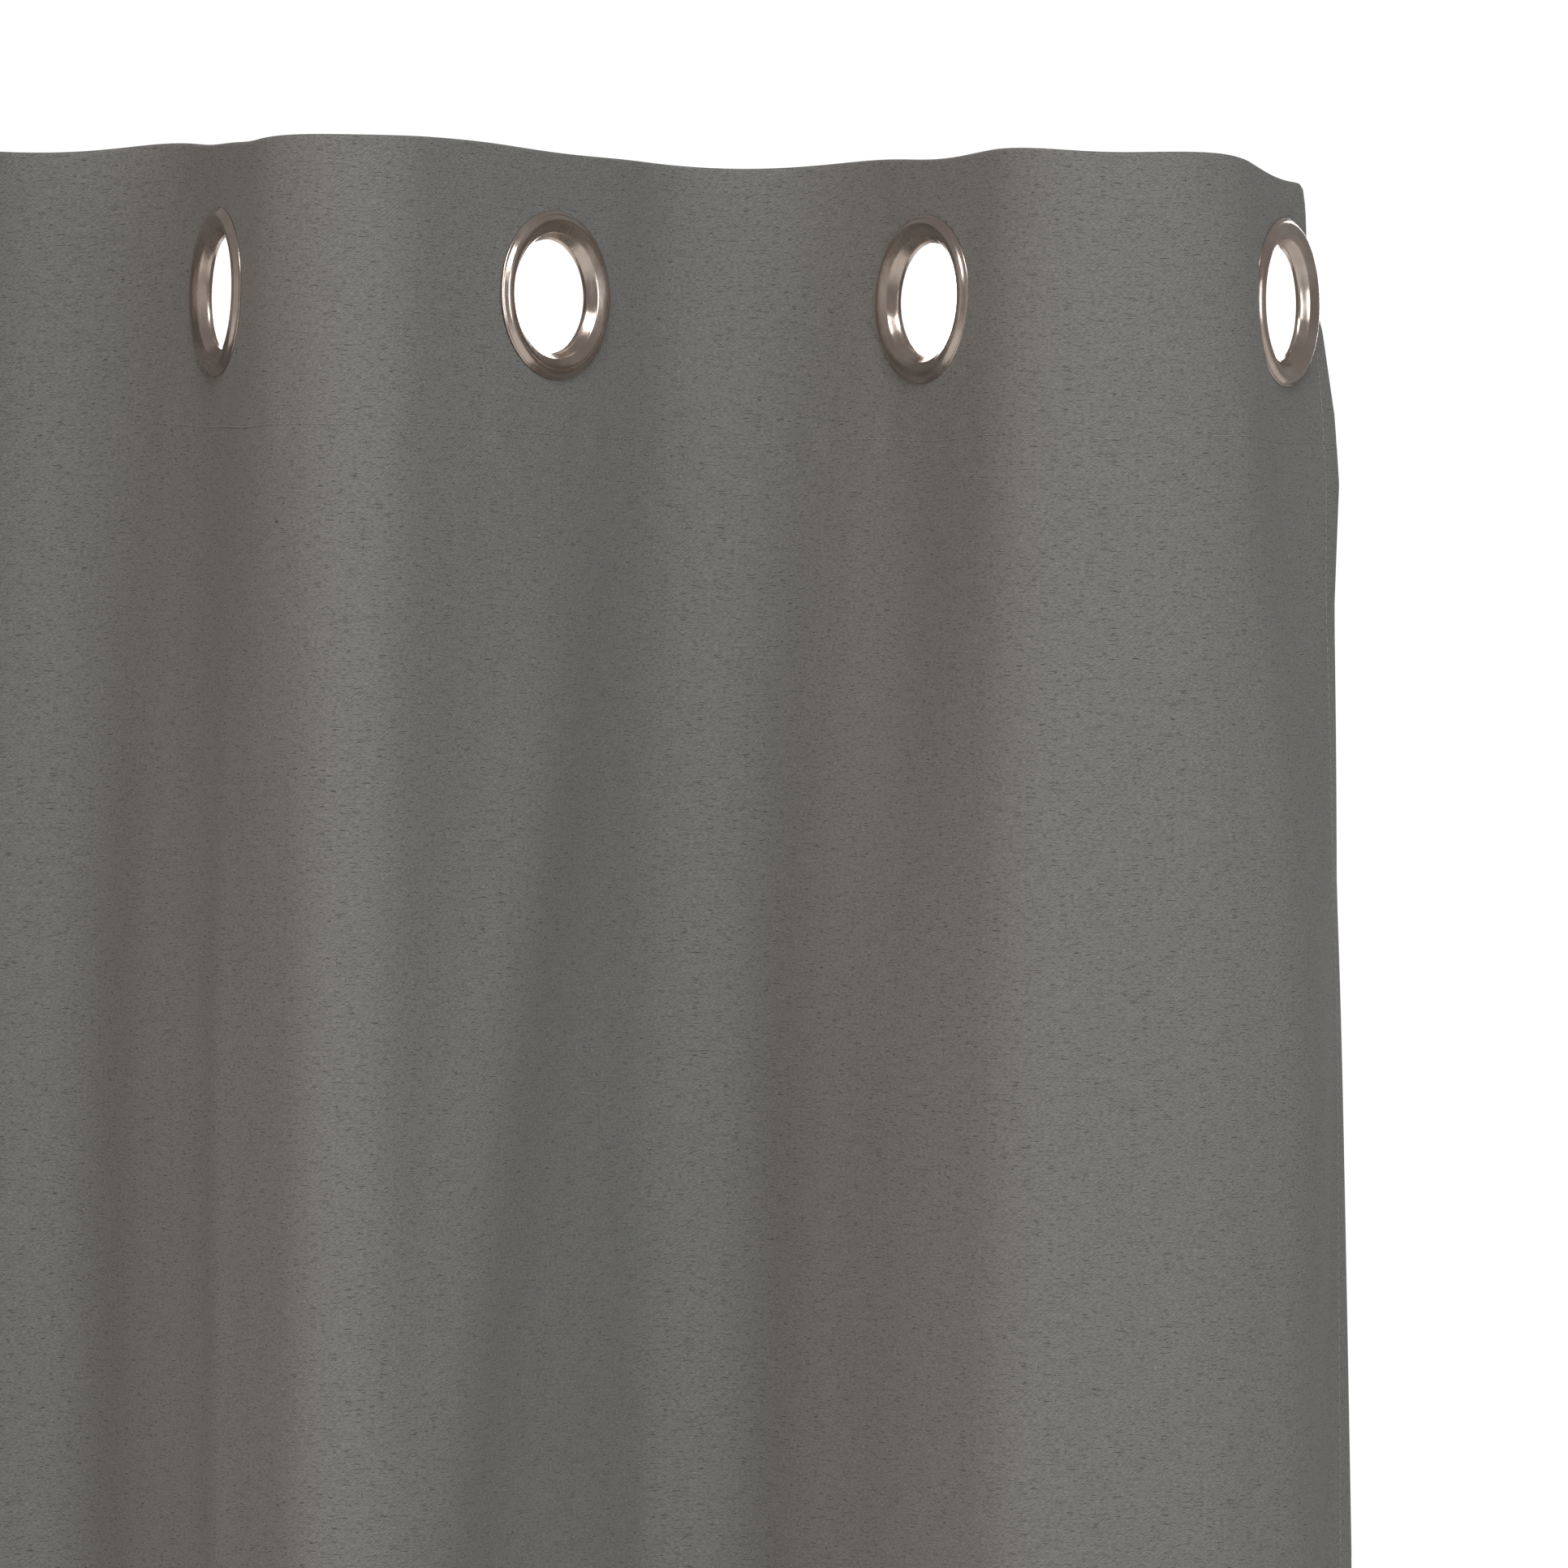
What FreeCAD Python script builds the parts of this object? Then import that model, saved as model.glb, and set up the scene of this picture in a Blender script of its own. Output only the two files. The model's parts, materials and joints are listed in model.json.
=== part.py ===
import FreeCAD, Part
import Sketcher
import math
import os

# Eyelet curtain panel. Millimetres, +Z up.
# Origin: on the line through the eyelet centres, midway between the first and last eyelets.
# +X runs along the rod, left to right from the room; the room is on the -Y side.

EYELETS = 8
LEFT_TO_RIGHT = range(1, EYELETS + 1)

SIZES = {
    # panel, laid flat
    "panel_width": 1400.0,
    "panel_drop": 2450.0,
    "edge_to_eyelet": 45.5,
    "top_to_eyelet": 52.5,
    "header_depth": 97.5,
    "side_hem_width": 15.0,
    "bottom_hem_depth": 90.0,
    # layers
    "cloth_thick": 0.7,
    "stiffener_thick": 0.7,
    "layer_gap": 0.05,
    "seam_gap": 0.6,
    "inner_gap": 4.0,
    "pocket_seam": 3.0,
    # eyelet, pressed from sheet metal
    "bore_radius": 20.0,
    "barrel_wall": 0.8,
    "throat_drop": 1.4,
    "taper_width": 2.5,
    "crease_rise": 1.3,
    "dome_width": 7.5,
    "dome_radius": 5.0,
    "lip_thick": 0.5,
    "seat_gap": 0.05,
    "washer_width": 7.15,
    "washer_thick": 1.0,
    "curl_width": 2.2,
    "curl_thick": 0.6,
    "hole_gap": 0.4,
}

# Angle of the cloth to the rod at each eyelet, in degrees, and the straight cloth
# kept past the flange before the crest begins, for each space between eyelets.
TILTS = {1: 64.0, 2: 57.0, 3: 60.0, 4: 55.0, 5: 69.0, 6: 52.0, 7: 58.0, 8: 65.0}
FLAT_MARGINS = {1: 10.0, 2: 8.0, 3: 12.0, 4: 9.0, 5: 16.0, 6: 15.0, 7: 4.0}

doc = FreeCAD.newDocument("eyelet_curtain_panel")


def make_sheet():
    """Spreadsheet of the driving sizes, one alias for each."""
    table = doc.addObject("Spreadsheet::Sheet", "sizes")
    named = dict(SIZES)
    named.update({f"tilt_{number}": angle for number, angle in TILTS.items()})
    named.update({f"flat_margin_{number}": length for number, length in FLAT_MARGINS.items()})
    for row, (alias, value) in enumerate(named.items(), start=1):
        table.set(f"A{row}", alias)
        table.set(f"B{row}", str(value))
        table.setAlias(f"B{row}", alias)
    doc.recompute()
    return table


sheet = make_sheet()


def size(alias):
    """Value of one cell of the sheet."""
    return float(sheet.get(alias))


def amount(terms):
    """Value of a sum of named sizes."""
    total = 0.0
    sign = 1
    for word in terms.split():
        if word in "+-":
            sign = 1 if word == "+" else -1
        elif word != "0":
            total += sign * size(word)
    return total


def formula(terms):
    """The same sum as an expression on the sheet."""
    words = [word if word in "+-0" else f"sizes.{word}" for word in terms.split()]
    return " ".join(words)


# Sums of named sizes, read by amount() and formula().
CREASE = "bore_radius + taper_width"
FLANGE = "bore_radius + taper_width + dome_width"
WASHER_BORE = "bore_radius + barrel_wall + seat_gap"


def header_thickness():
    """Front cloth, stiffener and turned-over cloth, with their clearances."""
    return 2 * size("cloth_thick") + size("stiffener_thick") + 2 * size("layer_gap")


def front_cloth_middle():
    """Distance from the plan line to the middle of the front cloth."""
    return (header_thickness() - size("cloth_thick")) / 2


# ---------------------------------------------------------------- plan of the folds

class Station:
    """A point of the plan line, with the direction of travel there."""

    def __init__(self, x, y, heading):
        self.x = x
        self.y = y
        self.heading = heading

    def moved(self, along=0.0, forward=0.0):
        """Point this far along the line, and this far towards the room."""
        cos = math.cos(self.heading)
        sin = math.sin(self.heading)
        return Station(self.x + along * cos + forward * sin,
                       self.y + along * sin - forward * cos, self.heading)

    def vector(self):
        return FreeCAD.Vector(self.x, self.y, 0)


class Crest:
    """The round fold between two eyelets: two straight flanks and one arc."""

    def __init__(self, number):
        first = math.radians(size(f"tilt_{number}"))
        second = math.radians(size(f"tilt_{number + 1}"))
        steep = max(first, second)
        shallow = min(first, second)
        turn = first + second
        tangent = math.tan(turn / 2)
        flat = amount(FLANGE) + size(f"flat_margin_{number}")
        pitch_flat = (size("panel_width") - 2 * size("edge_to_eyelet")) / (EYELETS - 1)
        depth = pitch_flat - flat * (2 - turn / tangent)
        depth /= 1 / math.sin(shallow) + (turn / tangent - 1) / math.sin(steep)
        self.side = -1 if number % 2 else 1
        self.first = first
        self.second = second
        self.pitch = depth * (1 / math.tan(first) + 1 / math.tan(second))
        self.radius = (depth / math.sin(steep) - flat) / tangent
        self.flat_run = depth / math.sin(first) - self.radius * tangent
        self.centre_x = self.flat_run * math.cos(first) + self.radius * math.sin(first)
        self.centre_depth = self.flat_run * math.sin(first) - self.radius * math.cos(first)
        # The hinge lies midway between the eyelets, in the middle of the front cloth, so
        # the eyelets stay in one line when the folds close up.
        cloth_radius = self.radius - self.side * front_cloth_middle()
        self.hinge_angle = math.asin((self.centre_x - self.pitch / 2) / cloth_radius)

    def station(self, x_eyelet, angle):
        """Point of the arc where the line makes this angle with the rod."""
        x = x_eyelet + self.centre_x - self.radius * math.sin(angle)
        depth = self.centre_depth + self.radius * math.cos(angle)
        return Station(x, self.side * depth, self.side * angle)


crests = {number: Crest(number) for number in LEFT_TO_RIGHT if number < EYELETS}


def eyelet_positions():
    """X of each eyelet, with the row centred on the origin."""
    total = sum(crest.pitch for crest in crests.values())
    places = {1: -total / 2}
    for number, crest in crests.items():
        places[number + 1] = places[number] + crest.pitch
    return places


eyelet_x = eyelet_positions()


def eyelet_station(number):
    """Centre of one eyelet, on the middle of the header's thickness."""
    slope = -1 if number % 2 else 1
    return Station(eyelet_x[number], 0.0, slope * math.radians(size(f"tilt_{number}")))


def hem_run():
    """Flat distance from an end eyelet to its side hem."""
    return size("edge_to_eyelet") - size("side_hem_width")


def fold_line(number, shortened):
    """Plan line of one fold, cut back from the hinges: runs of 2 (line) or 3 (arc) stations."""
    runs = []
    centre = eyelet_station(number)
    start = centre.moved(along=shortened - hem_run())
    end = centre.moved(along=hem_run() - shortened)
    if number > 1:
        crest = crests[number - 1]
        first = crest.hinge_angle - shortened / crest.radius
        angles = (first, (first - crest.second) / 2, -crest.second)
        arc = [crest.station(eyelet_x[number - 1], angle) for angle in angles]
        runs.append(arc)
        start = arc[-1]
    tail = []
    if number < EYELETS:
        crest = crests[number]
        last = crest.hinge_angle + shortened / crest.radius
        angles = (crest.first, (crest.first + last) / 2, last)
        tail = [crest.station(eyelet_x[number], angle) for angle in angles]
        end = tail[0]
    runs.append([start, end])
    if tail:
        runs.append(tail)
    return runs


def edges_along(runs, forward):
    """Edges of the plan line, moved towards the room by forward."""
    edges = []
    for stations in runs:
        points = [station.moved(forward=forward).vector() for station in stations]
        if len(points) == 2:
            edges.append(Part.LineSegment(*points).toShape())
        else:
            edges.append(Part.Arc(*points).toShape())
    return edges


def sheet_layer(runs, front, back, low, high):
    """Solid between two distances from the plan line and two heights."""
    near = edges_along(runs, front)
    far = edges_along(runs, back)
    start = Part.LineSegment(near[0].Vertexes[0].Point, far[0].Vertexes[0].Point).toShape()
    end = Part.LineSegment(near[-1].Vertexes[-1].Point, far[-1].Vertexes[-1].Point).toShape()
    outline = Part.Wire(Part.__sortEdges__(near + [end] + far + [start]))
    face = Part.Face(outline)
    face.translate(FreeCAD.Vector(0, 0, low))
    return face.extrude(FreeCAD.Vector(0, 0, high - low))


# ---------------------------------------------------------------- cloth and stiffener

def top_z():
    return size("top_to_eyelet")


def bottom_z():
    return size("top_to_eyelet") - size("panel_drop")


def header_bottom_z():
    return size("top_to_eyelet") - size("header_depth")


def eyelet_drill(number, radius):
    """Cylinder along one eyelet's axis, longer than the header is thick."""
    centre = eyelet_station(number)
    reach = 2 * header_thickness()
    start = centre.moved(forward=-reach).vector()
    axis = centre.moved(forward=reach).vector() - start
    return Part.makeCylinder(radius, 2 * reach, start, axis)


def hole_radius():
    return amount(CREASE) + size("hole_gap")


def add_feature(name, shape):
    feature = doc.addObject("Part::Feature", name)
    feature.Label = name
    feature.Shape = shape
    feature.Placement = FreeCAD.Placement()
    return feature


def make_cloth(number):
    """One fold of cloth: single drop, turned-over header with its pocket, bottom hem."""
    cloth = size("cloth_thick")
    front = header_thickness() / 2
    back = -front
    drop = fold_line(number, size("seam_gap") / 2)
    doubled = fold_line(number, size("inner_gap") / 2)
    pieces = [
        sheet_layer(drop, front, front - cloth, bottom_z(), top_z()),
        sheet_layer(doubled, front - cloth, back, top_z() - cloth, top_z()),
        sheet_layer(doubled, back + cloth, back, header_bottom_z(), top_z() - cloth),
        sheet_layer(doubled, front - cloth, back + cloth, header_bottom_z(),
                    header_bottom_z() + size("pocket_seam")),
        sheet_layer(doubled, front - cloth, front - 3 * cloth, bottom_z(),
                    bottom_z() + size("bottom_hem_depth")),
    ]
    shape = pieces[0].fuse(pieces[1:]).cut(eyelet_drill(number, hole_radius()))
    return add_feature(f"cloth_{number}", shape.removeSplitter())


def make_stiffener(number):
    """Stiff band inside one fold of the header pocket."""
    front = size("stiffener_thick") / 2
    gap = size("layer_gap")
    runs = fold_line(number, size("inner_gap") / 2)
    low = header_bottom_z() + size("pocket_seam") + gap
    high = top_z() - size("cloth_thick") - gap
    band = sheet_layer(runs, front, -front, low, high)
    return add_feature(f"stiffener_{number}", band.cut(eyelet_drill(number, hole_radius())))


def make_side_hem(name, station, along, length):
    """Side hem, three layers of cloth turned in, beside an end eyelet."""
    hem = doc.addObject("Part::Box", name)
    hem.Label = name
    hem.setExpression("Length", length)
    hem.setExpression("Width", "3 * sizes.cloth_thick")
    hem.setExpression("Height", "sizes.panel_drop")
    corner = station.moved(along=along, forward=header_thickness() / 2)
    place = FreeCAD.Vector(corner.x, corner.y, bottom_z())
    turn = FreeCAD.Rotation(FreeCAD.Vector(0, 0, 1), math.degrees(corner.heading))
    hem.Placement = FreeCAD.Placement(place, turn)
    return hem


# ---------------------------------------------------------------- eyelets

HEADER = "cloth_thick + cloth_thick + stiffener_thick + layer_gap + layer_gap"
WASHER_TOP = f"0 - {HEADER.replace('+', '-')} - seat_gap"
CURL_TOP = f"{WASHER_TOP} - washer_thick - seat_gap"

# Profiles of the pressed pieces: distance from the axis, height above the cloth's front,
# and the radius of the arc that leads on to the next point (None for a straight line).
FRONT_PROFILE = [
    ("bore_radius", f"{CURL_TOP} - curl_thick", None),
    ("bore_radius", "0 - throat_drop", None),
    (CREASE, "seat_gap + crease_rise", "dome_radius"),
    (FLANGE, "seat_gap + lip_thick", None),
    (FLANGE, "seat_gap", None),
    (CREASE, "seat_gap", None),
    ("bore_radius + barrel_wall", WASHER_TOP, None),
    ("bore_radius + barrel_wall", CURL_TOP, None),
    ("bore_radius + barrel_wall + curl_width", CURL_TOP, None),
    ("bore_radius + barrel_wall + curl_width", f"{CURL_TOP} - curl_thick", None),
]
WASHER_PROFILE = [
    (WASHER_BORE, WASHER_TOP, None),
    (f"{WASHER_BORE} + washer_width", WASHER_TOP, None),
    (f"{WASHER_BORE} + washer_width", f"{WASHER_TOP} - washer_thick", None),
    (WASHER_BORE, f"{WASHER_TOP} - washer_thick", None),
]


def plane_of(body, role):
    return next(item for item in body.Origin.OriginFeatures if item.Role == role)


def arc_between(start, end, radius):
    """Arc that bulges away from the cloth, from start out to end."""
    chord = end - start
    rise = math.sqrt(radius ** 2 - (chord.Length / 2) ** 2)
    across = FreeCAD.Vector(chord.y, -chord.x, 0).normalize()
    centre = (start + end) / 2 + across * rise
    circle = Part.Circle(centre, FreeCAD.Vector(0, 0, 1), radius)
    first = math.atan2(end.y - centre.y, end.x - centre.x)
    last = math.atan2(start.y - centre.y, start.x - centre.x)
    return Part.ArcOfCircle(circle, first, last)


def draw_profile(sketch, profile):
    """Closed outline whose points and arcs are all bound to the sheet."""
    points = [FreeCAD.Vector(amount(out), amount(up), 0) for out, up, radius in profile]
    start_point, end_point = 1, 2
    joints = []
    for index, (out, up, radius) in enumerate(profile):
        start = points[index]
        end = points[(index + 1) % len(points)]
        if radius:
            sketch.addGeometry(arc_between(start, end, size(radius)), False)
            joints.append((end_point, start_point))
        else:
            sketch.addGeometry(Part.LineSegment(start, end), False)
            joints.append((start_point, end_point))
    for index, (first, last) in enumerate(joints):
        follower = (index + 1) % len(joints)
        sketch.addConstraint(Sketcher.Constraint("Coincident", index, last,
                                                 follower, joints[follower][0]))
    for index, (out, up, radius) in enumerate(profile):
        point = joints[index][0]
        for kind, terms in (("DistanceX", out), ("DistanceY", up)):
            constraint = Sketcher.Constraint(kind, -1, 1, index, point, amount(terms))
            place = sketch.addConstraint(constraint)
            sketch.setExpression(f"Constraints[{place}]", formula(terms))
        if radius:
            place = sketch.addConstraint(Sketcher.Constraint("Radius", index, size(radius)))
            sketch.setExpression(f"Constraints[{place}]", formula(radius))


def make_ring(name, number, profile):
    """Ring turned about the eyelet's axis, seated on the header."""
    body = doc.addObject("PartDesign::Body", name)
    body.Label = name
    sketch = body.newObject("Sketcher::SketchObject", f"{name}_profile")
    sketch.AttachmentSupport = (plane_of(body, "XZ_Plane"), [""])
    sketch.MapMode = "FlatFace"
    draw_profile(sketch, profile)
    ring = body.newObject("PartDesign::Revolution", f"{name}_turned")
    ring.Profile = sketch
    ring.ReferenceAxis = (sketch, ["V_Axis"])
    ring.Angle = 360.0
    body.Tip = ring
    seat = eyelet_station(number).moved(forward=header_thickness() / 2)
    outward = FreeCAD.Vector(math.sin(seat.heading), -math.cos(seat.heading), 0)
    upright = FreeCAD.Rotation(FreeCAD.Vector(0, 0, 1), outward)
    body.Placement = FreeCAD.Placement(seat.vector(), upright)
    return body


# ---------------------------------------------------------------- the whole panel

def build():
    parts = [
        make_side_hem("side_hem_left", eyelet_station(1), -size("edge_to_eyelet"),
                      "sizes.side_hem_width - sizes.seam_gap / 2"),
        make_side_hem("side_hem_right", eyelet_station(EYELETS),
                      hem_run() - size("seam_gap") / 2,
                      "sizes.side_hem_width + sizes.seam_gap / 2"),
    ]
    for number in LEFT_TO_RIGHT:
        parts.append(make_cloth(number))
        parts.append(make_stiffener(number))
        parts.append(make_ring(f"eyelet_front_{number}", number, FRONT_PROFILE))
        parts.append(make_ring(f"eyelet_back_{number}", number, WASHER_PROFILE))
    doc.recompute()
    return parts


def check(parts):
    """Stop before exporting if anything failed to build."""
    for item in doc.Objects:
        if "Invalid" in item.State or "Error" in item.State:
            raise RuntimeError(f"{item.Name} failed: {item.State}")
    for part in parts:
        if part.Shape.isNull() or not part.Shape.isValid() or len(part.Shape.Solids) != 1:
            raise RuntimeError(f"{part.Label} has no single valid solid")


def export(parts):
    os.makedirs("parts", exist_ok=True)
    for part in parts:
        part.Shape.exportStep(os.path.join("parts", f"{part.Label}.step"))


panel_parts = build()
check(panel_parts)
export(panel_parts)
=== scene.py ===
import json
import math

import bpy
import numpy as np
from mathutils import Matrix, Vector


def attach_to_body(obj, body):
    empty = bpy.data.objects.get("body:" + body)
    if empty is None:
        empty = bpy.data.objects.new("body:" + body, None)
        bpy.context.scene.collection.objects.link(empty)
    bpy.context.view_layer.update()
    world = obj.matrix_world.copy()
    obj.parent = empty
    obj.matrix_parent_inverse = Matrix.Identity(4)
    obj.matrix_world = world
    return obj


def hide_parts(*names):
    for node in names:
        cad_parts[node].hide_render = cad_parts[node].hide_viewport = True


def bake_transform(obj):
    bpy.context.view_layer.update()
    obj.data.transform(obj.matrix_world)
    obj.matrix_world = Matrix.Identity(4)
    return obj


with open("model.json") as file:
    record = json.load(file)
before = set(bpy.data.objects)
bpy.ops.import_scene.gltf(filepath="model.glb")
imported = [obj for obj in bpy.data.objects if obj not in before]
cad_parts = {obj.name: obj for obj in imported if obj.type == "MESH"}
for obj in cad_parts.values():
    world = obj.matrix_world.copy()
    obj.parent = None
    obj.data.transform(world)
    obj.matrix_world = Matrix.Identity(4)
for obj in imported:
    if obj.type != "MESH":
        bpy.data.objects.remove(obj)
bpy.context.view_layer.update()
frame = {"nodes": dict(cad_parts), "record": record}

MM = 0.001

# Panel, laid flat: u runs from the left edge, v from the top edge, in metres.
PANEL_WIDTH = 1.400
PANEL_DROP = 2.450
EDGE_TO_EYELET = 0.0455
TOP_TO_EYELET = 0.0525
HEADER_DEPTH = 0.102
SIDE_HEM = 0.015
BOTTOM_HEM = 0.090
CLOTH_THICK = 0.7 * MM
HEADER_THICK = 2.2 * MM
HEM_THICK = 3 * CLOTH_THICK
HOLE_RADIUS = 24.5 * MM
EDGE_EASE = 0.6 * MM            # width over which a doubled part's thickness begins
THINNEST_EDGE = 0.02            # least value under the root that rounds the outer edges

# Stitching
STITCH_PITCH = 3.3 * MM
STITCH_LENGTH = 2.5 * MM
THREAD_RADIUS = 0.17 * MM
STITCH_DIP = 0.03 * MM          # how far a seam pulls the layers together
PULL_WIDTH = 1.1 * MM
PUCKER_HEIGHT = 0.20 * MM
PUCKER_REACH = 9 * MM
HEADER_STITCH_V = HEADER_DEPTH - 1.5 * MM
BOTTOM_HEM_V = PANEL_DROP - BOTTOM_HEM
BOTTOM_STITCH_V = BOTTOM_HEM_V + 2.0 * MM
SIDE_STITCH_U = SIDE_HEM - 2.0 * MM

# The frame's origin lies on the line through the eyelets' centres.
TOP_Z = TOP_TO_EYELET


def smooth(value, low, high):
    """0 below low, 1 above high, with a smooth rise between."""
    share = np.clip((value - low) / (high - low), 0.0, 1.0)
    return share * share * (3 - 2 * share)


def ridge(value, centre, width):
    """Bell curve, 1 at the centre."""
    return np.exp(-((value - centre) / width) ** 2)


# ---------------------------------------------------------------- plan of the header

def read_eyelets():
    """X of each eyelet centre and the cloth's heading there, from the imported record."""
    found = []
    mounts = {mount["name"]: mount for mount in frame["record"]["mounts"]}
    number = 1
    while f"eyelet_{number}" in mounts:
        mount = mounts[f"eyelet_{number}"]
        out_x, out_y, _ = mount["axis"]
        x, y, _ = mount["pos_m"]
        found.append((x - out_x * y / out_y, math.atan2(out_x, -out_y)))
        number += 1
    return found


EYELETS = read_eyelets()
COUNT = len(EYELETS)
FLAT_PITCH = (PANEL_WIDTH - 2 * EDGE_TO_EYELET) / (COUNT - 1)
EYELET_U = [EDGE_TO_EYELET + FLAT_PITCH * index for index in range(COUNT)]


def strip_span(index):
    """First and last u of a cloth strip. Strips meet at the eyelet lines."""
    low = 0.0 if index == 0 else EYELET_U[index - 1]
    high = PANEL_WIDTH if index == COUNT else EYELET_U[index]
    return low, high


PLAN_STEP = 0.5 * MM


def plan_samples():
    """Points along the header's middle line: flat distance u, x, y and heading.

    Between two eyelets the line runs straight, turns once at the crest on an arc, and
    runs straight again, with FLAT_PITCH of cloth in all."""
    u_all = np.arange(0.0, PANEL_WIDTH + PLAN_STEP / 2, PLAN_STEP)
    x_all = np.zeros_like(u_all)
    y_all = np.zeros_like(u_all)
    heading = np.zeros_like(u_all)
    for index in range(COUNT - 1):
        x0, first_heading = EYELETS[index]
        x1, second_heading = EYELETS[index + 1]
        side = math.copysign(1.0, first_heading)
        first, second = abs(first_heading), abs(second_heading)
        turn = first + second
        tangent = math.tan(turn / 2)
        depth = (x1 - x0) / (1 / math.tan(first) + 1 / math.tan(second))
        legs = depth / math.sin(first) + depth / math.sin(second)
        radius = (legs - FLAT_PITCH) / (2 * tangent - turn)
        run = depth / math.sin(first) - radius * tangent
        centre_x = run * math.cos(first) + radius * math.sin(first)
        centre_y = run * math.sin(first) - radius * math.cos(first)
        low = -math.inf if index == 0 else EYELET_U[index]
        high = math.inf if index == COUNT - 2 else EYELET_U[index + 1]
        here = (u_all >= low) & (u_all <= high)
        along = u_all[here] - EYELET_U[index]
        angle = np.clip(first - (along - run) / radius, -second, first)
        before = np.minimum(along, run)
        after = np.maximum(along - run - radius * turn, 0.0)
        arc_x = centre_x - radius * np.sin(angle)
        arc_y = centre_y + radius * np.cos(angle)
        x = np.where(along < run, before * math.cos(first),
                     arc_x + after * math.cos(second))
        y = np.where(along < run, before * math.sin(first),
                     arc_y - after * math.sin(second))
        x_all[here] = x0 + x
        y_all[here] = side * y
        heading[here] = side * angle
    return u_all, x_all, y_all, heading


PLAN_U, PLAN_X, PLAN_Y, PLAN_HEADING = plan_samples()


# ---------------------------------------------------------------- how the cloth hangs

# Below the header the cloth settles to this plan. For each turn, from the left: flat
# distance of its middle, half its width, the heading after it in degrees, x and y there.
FIRST_HEADING = -60.0
TURNS = [
    (0.138, 0.045, 52.0, -0.388, -0.056),
    (0.326, 0.040, -57.0, -0.247, 0.057),
    (0.513, 0.045, 56.0, -0.126, -0.052),
    (0.703, 0.050, -50.0, -0.004, 0.058),
    (0.890, 0.030, 58.0, 0.1130, -0.060),
    (1.073, 0.040, -50.0, 0.2390, 0.054),
    (1.227, 0.022, 8.0, 0.3480, -0.052),
    (1.326, 0.052, 80.0, 0.4417, -0.030),
]


def hanging_plan():
    """Like plan_samples, for the cloth below the header: x, y and heading."""
    middles, halves, afters, xs, ys = np.array(TURNS).T
    heading = np.full_like(PLAN_U, FIRST_HEADING)
    before = FIRST_HEADING
    for middle, half, after in zip(middles, halves, afters):
        heading += (after - before) * smooth(PLAN_U, middle - half, middle + half)
        before = after
    heading = np.radians(heading)
    x_all = np.cumsum(np.cos(heading)) * PLAN_STEP
    y_all = np.cumsum(np.sin(heading)) * PLAN_STEP
    # shifted so that each turn lies where the table says
    x_all += np.interp(PLAN_U, middles, xs - np.interp(middles, PLAN_U, x_all))
    y_all += np.interp(PLAN_U, middles, ys - np.interp(middles, PLAN_U, y_all))
    return x_all, y_all, np.arctan2(np.gradient(y_all), np.gradient(x_all))


HUNG_X, HUNG_Y, HUNG_HEADING = hanging_plan()

# The cloth follows the header's plan down to HANG_START, plus up to RING_HOLD beside an
# eyelet, and the lower plan from HANG_FULL down.
RING_REACH = 0.045
RING_HOLD = 0.24
HANG_START = -0.16
HANG_FULL = 0.34

# Height of the ripples in the header, and how much more they get below it and low down.
HEADER_RIPPLE = 1.2 * MM
HUNG_RIPPLE = 4.0 * MM
LOW_RIPPLE = 5.0 * MM
LOW_START = 0.4
HEADER_FOLD_SHARE = 0.35        # share of folds and ripples that the stiff header shows

# Soft secondary folds: centre in u where each begins and FOLD_DRIFT below, half width,
# height towards the room, and the v where each begins and is full.
FOLD_DRIFT = 0.6
FOLDS = [
    (0.160, 0.150, 0.018, 4.0 * MM, 0.30, 0.90),
    (0.305, 0.322, 0.022, -4.5 * MM, 0.25, 0.80),
    (0.410, 0.395, 0.016, 3.5 * MM, 0.55, 1.40),
    (0.540, 0.552, 0.020, 5.0 * MM, 0.35, 1.00),
    (0.640, 0.622, 0.017, -4.0 * MM, 0.20, 0.70),
    (0.818, 0.824, 0.009, 1.4 * MM, 0.12, 0.35),
    (1.006, 0.905, 0.026, 6.0 * MM, 0.06, 0.34),
    (1.056, 1.050, 0.007, -1.6 * MM, 0.36, 0.55),
    (1.310, 1.325, 0.014, -1.8 * MM, 0.08, 0.22),
]

# The free right edge: distance below the top, and its shift along the rod.
EDGE_HEIGHTS = [0.0, 0.025, 0.06, 0.09, 0.115, 0.16, 0.26, 0.50, 1.10, PANEL_DROP]
EDGE_SHIFTS = [shift * MM
               for shift in (-23.0, -12.5, -3.8, 0.3, 1.8, -0.5, -0.8, 6.8, 14.5, 17.0)]
EDGE_TAIL = 0.018               # cloth beyond the last eyelet that doesn't shift

# The free top corner: each droop's depth, and how far from the edge it begins and is full.
CORNER_DROOPS = [(7.0 * MM, 0.135, 0.025), (9.0 * MM, 0.033, 0.016)]
CORNER_DEPTH = 0.032            # the droops fade out this far below the top
CORNER_CURL = 0.8               # how far the corner curls back, as a share of its droop

# Sags of the top edge, which fade out SAG_DEPTH below it: centre in u, half width, depth.
SAG_DEPTH = 0.35
EDGE_SAGS = [
    (0.326, 0.040, 1.5 * MM),
    (0.513, 0.040, 0.8 * MM),
    (0.690, 0.050, -1.5 * MM),
    (0.740, 0.034, -4.0 * MM),
    (0.832, 0.022, 1.5 * MM),
    (0.887, 0.040, 1.8 * MM),
    (0.985, 0.045, 1.6 * MM),
    (1.074, 0.040, 1.6 * MM),
    (1.180, 0.034, 3.2 * MM),
    (1.261, 0.040, 4.8 * MM),
    (1.345, 0.030, 2.2 * MM),
]


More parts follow.
